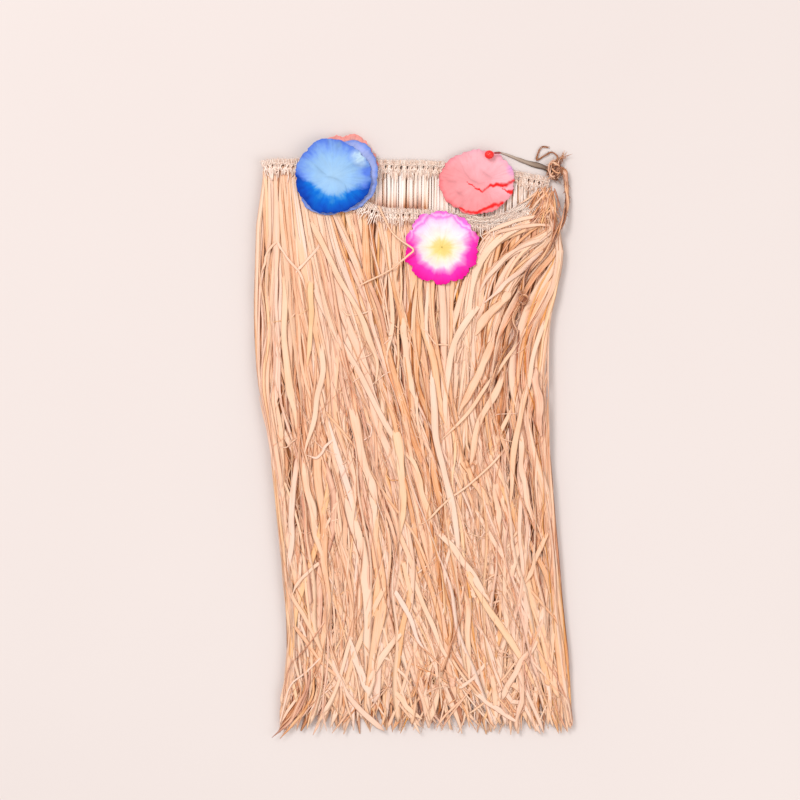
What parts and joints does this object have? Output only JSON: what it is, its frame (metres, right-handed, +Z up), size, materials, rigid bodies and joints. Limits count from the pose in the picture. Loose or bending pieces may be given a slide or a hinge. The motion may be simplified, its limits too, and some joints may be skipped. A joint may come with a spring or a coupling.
{
  "type": "grass skirt",
  "caption": "Child's raffia hula skirt with a twined waistband, fabric flowers and tie cords, laid flat.",
  "frame": {"origin": "on the surface the skirt lies on, under the middle of its outline", "axes": "+X to the right across the skirt, +Y towards the waistband, +Z up from the surface"},
  "size_m": [0.2706, 0.519, 0.0153],
  "materials": {
    "raffia_mat": "natural raffia bundles, matte, slightly golden",
    "raffia_strand": "flat natural raffia strands, dry and slightly glossy",
    "raffia_band": "pale fuzzy twined raffia",
    "tie_raffia": "brown frayed raffia cord",
    "blue_petal": "thin dyed woven fabric, deep blue to pale blue",
    "coral_petal": "thin dyed woven fabric, coral",
    "pink_petal": "thin dyed woven fabric, magenta rim, white ring, yellow centre",
    "red_bead": "round red plastic bead",
    "red_stem": "dark red plastic stalk"
  },
  "bodies": {
    "root": {"back_panel": "raffia_mat", "front_panel": "raffia_mat", "waistband": "raffia_band", "inner_fringe": "raffia_strand", "under_fringe_left": "raffia_strand", "under_fringe_right": "raffia_strand", "over_fringe_left": "raffia_strand", "over_fringe_right": "raffia_strand", "blue_flower_back": "blue_petal", "blue_flower": "blue_petal", "coral_flower": "coral_petal", "coral_flower_folded": "coral_petal", "pink_flower": "pink_petal", "coral_bead": "red_bead", "coral_stem": "red_stem", "corner_knot": "tie_raffia", "tie_long": "tie_raffia", "tie_ring": "tie_raffia", "tie_tail": "tie_raffia", "tie_loop": "tie_raffia", "tie_flat": "tie_raffia", "loose_strand": "raffia_strand"}
  },
  "joints": []
}
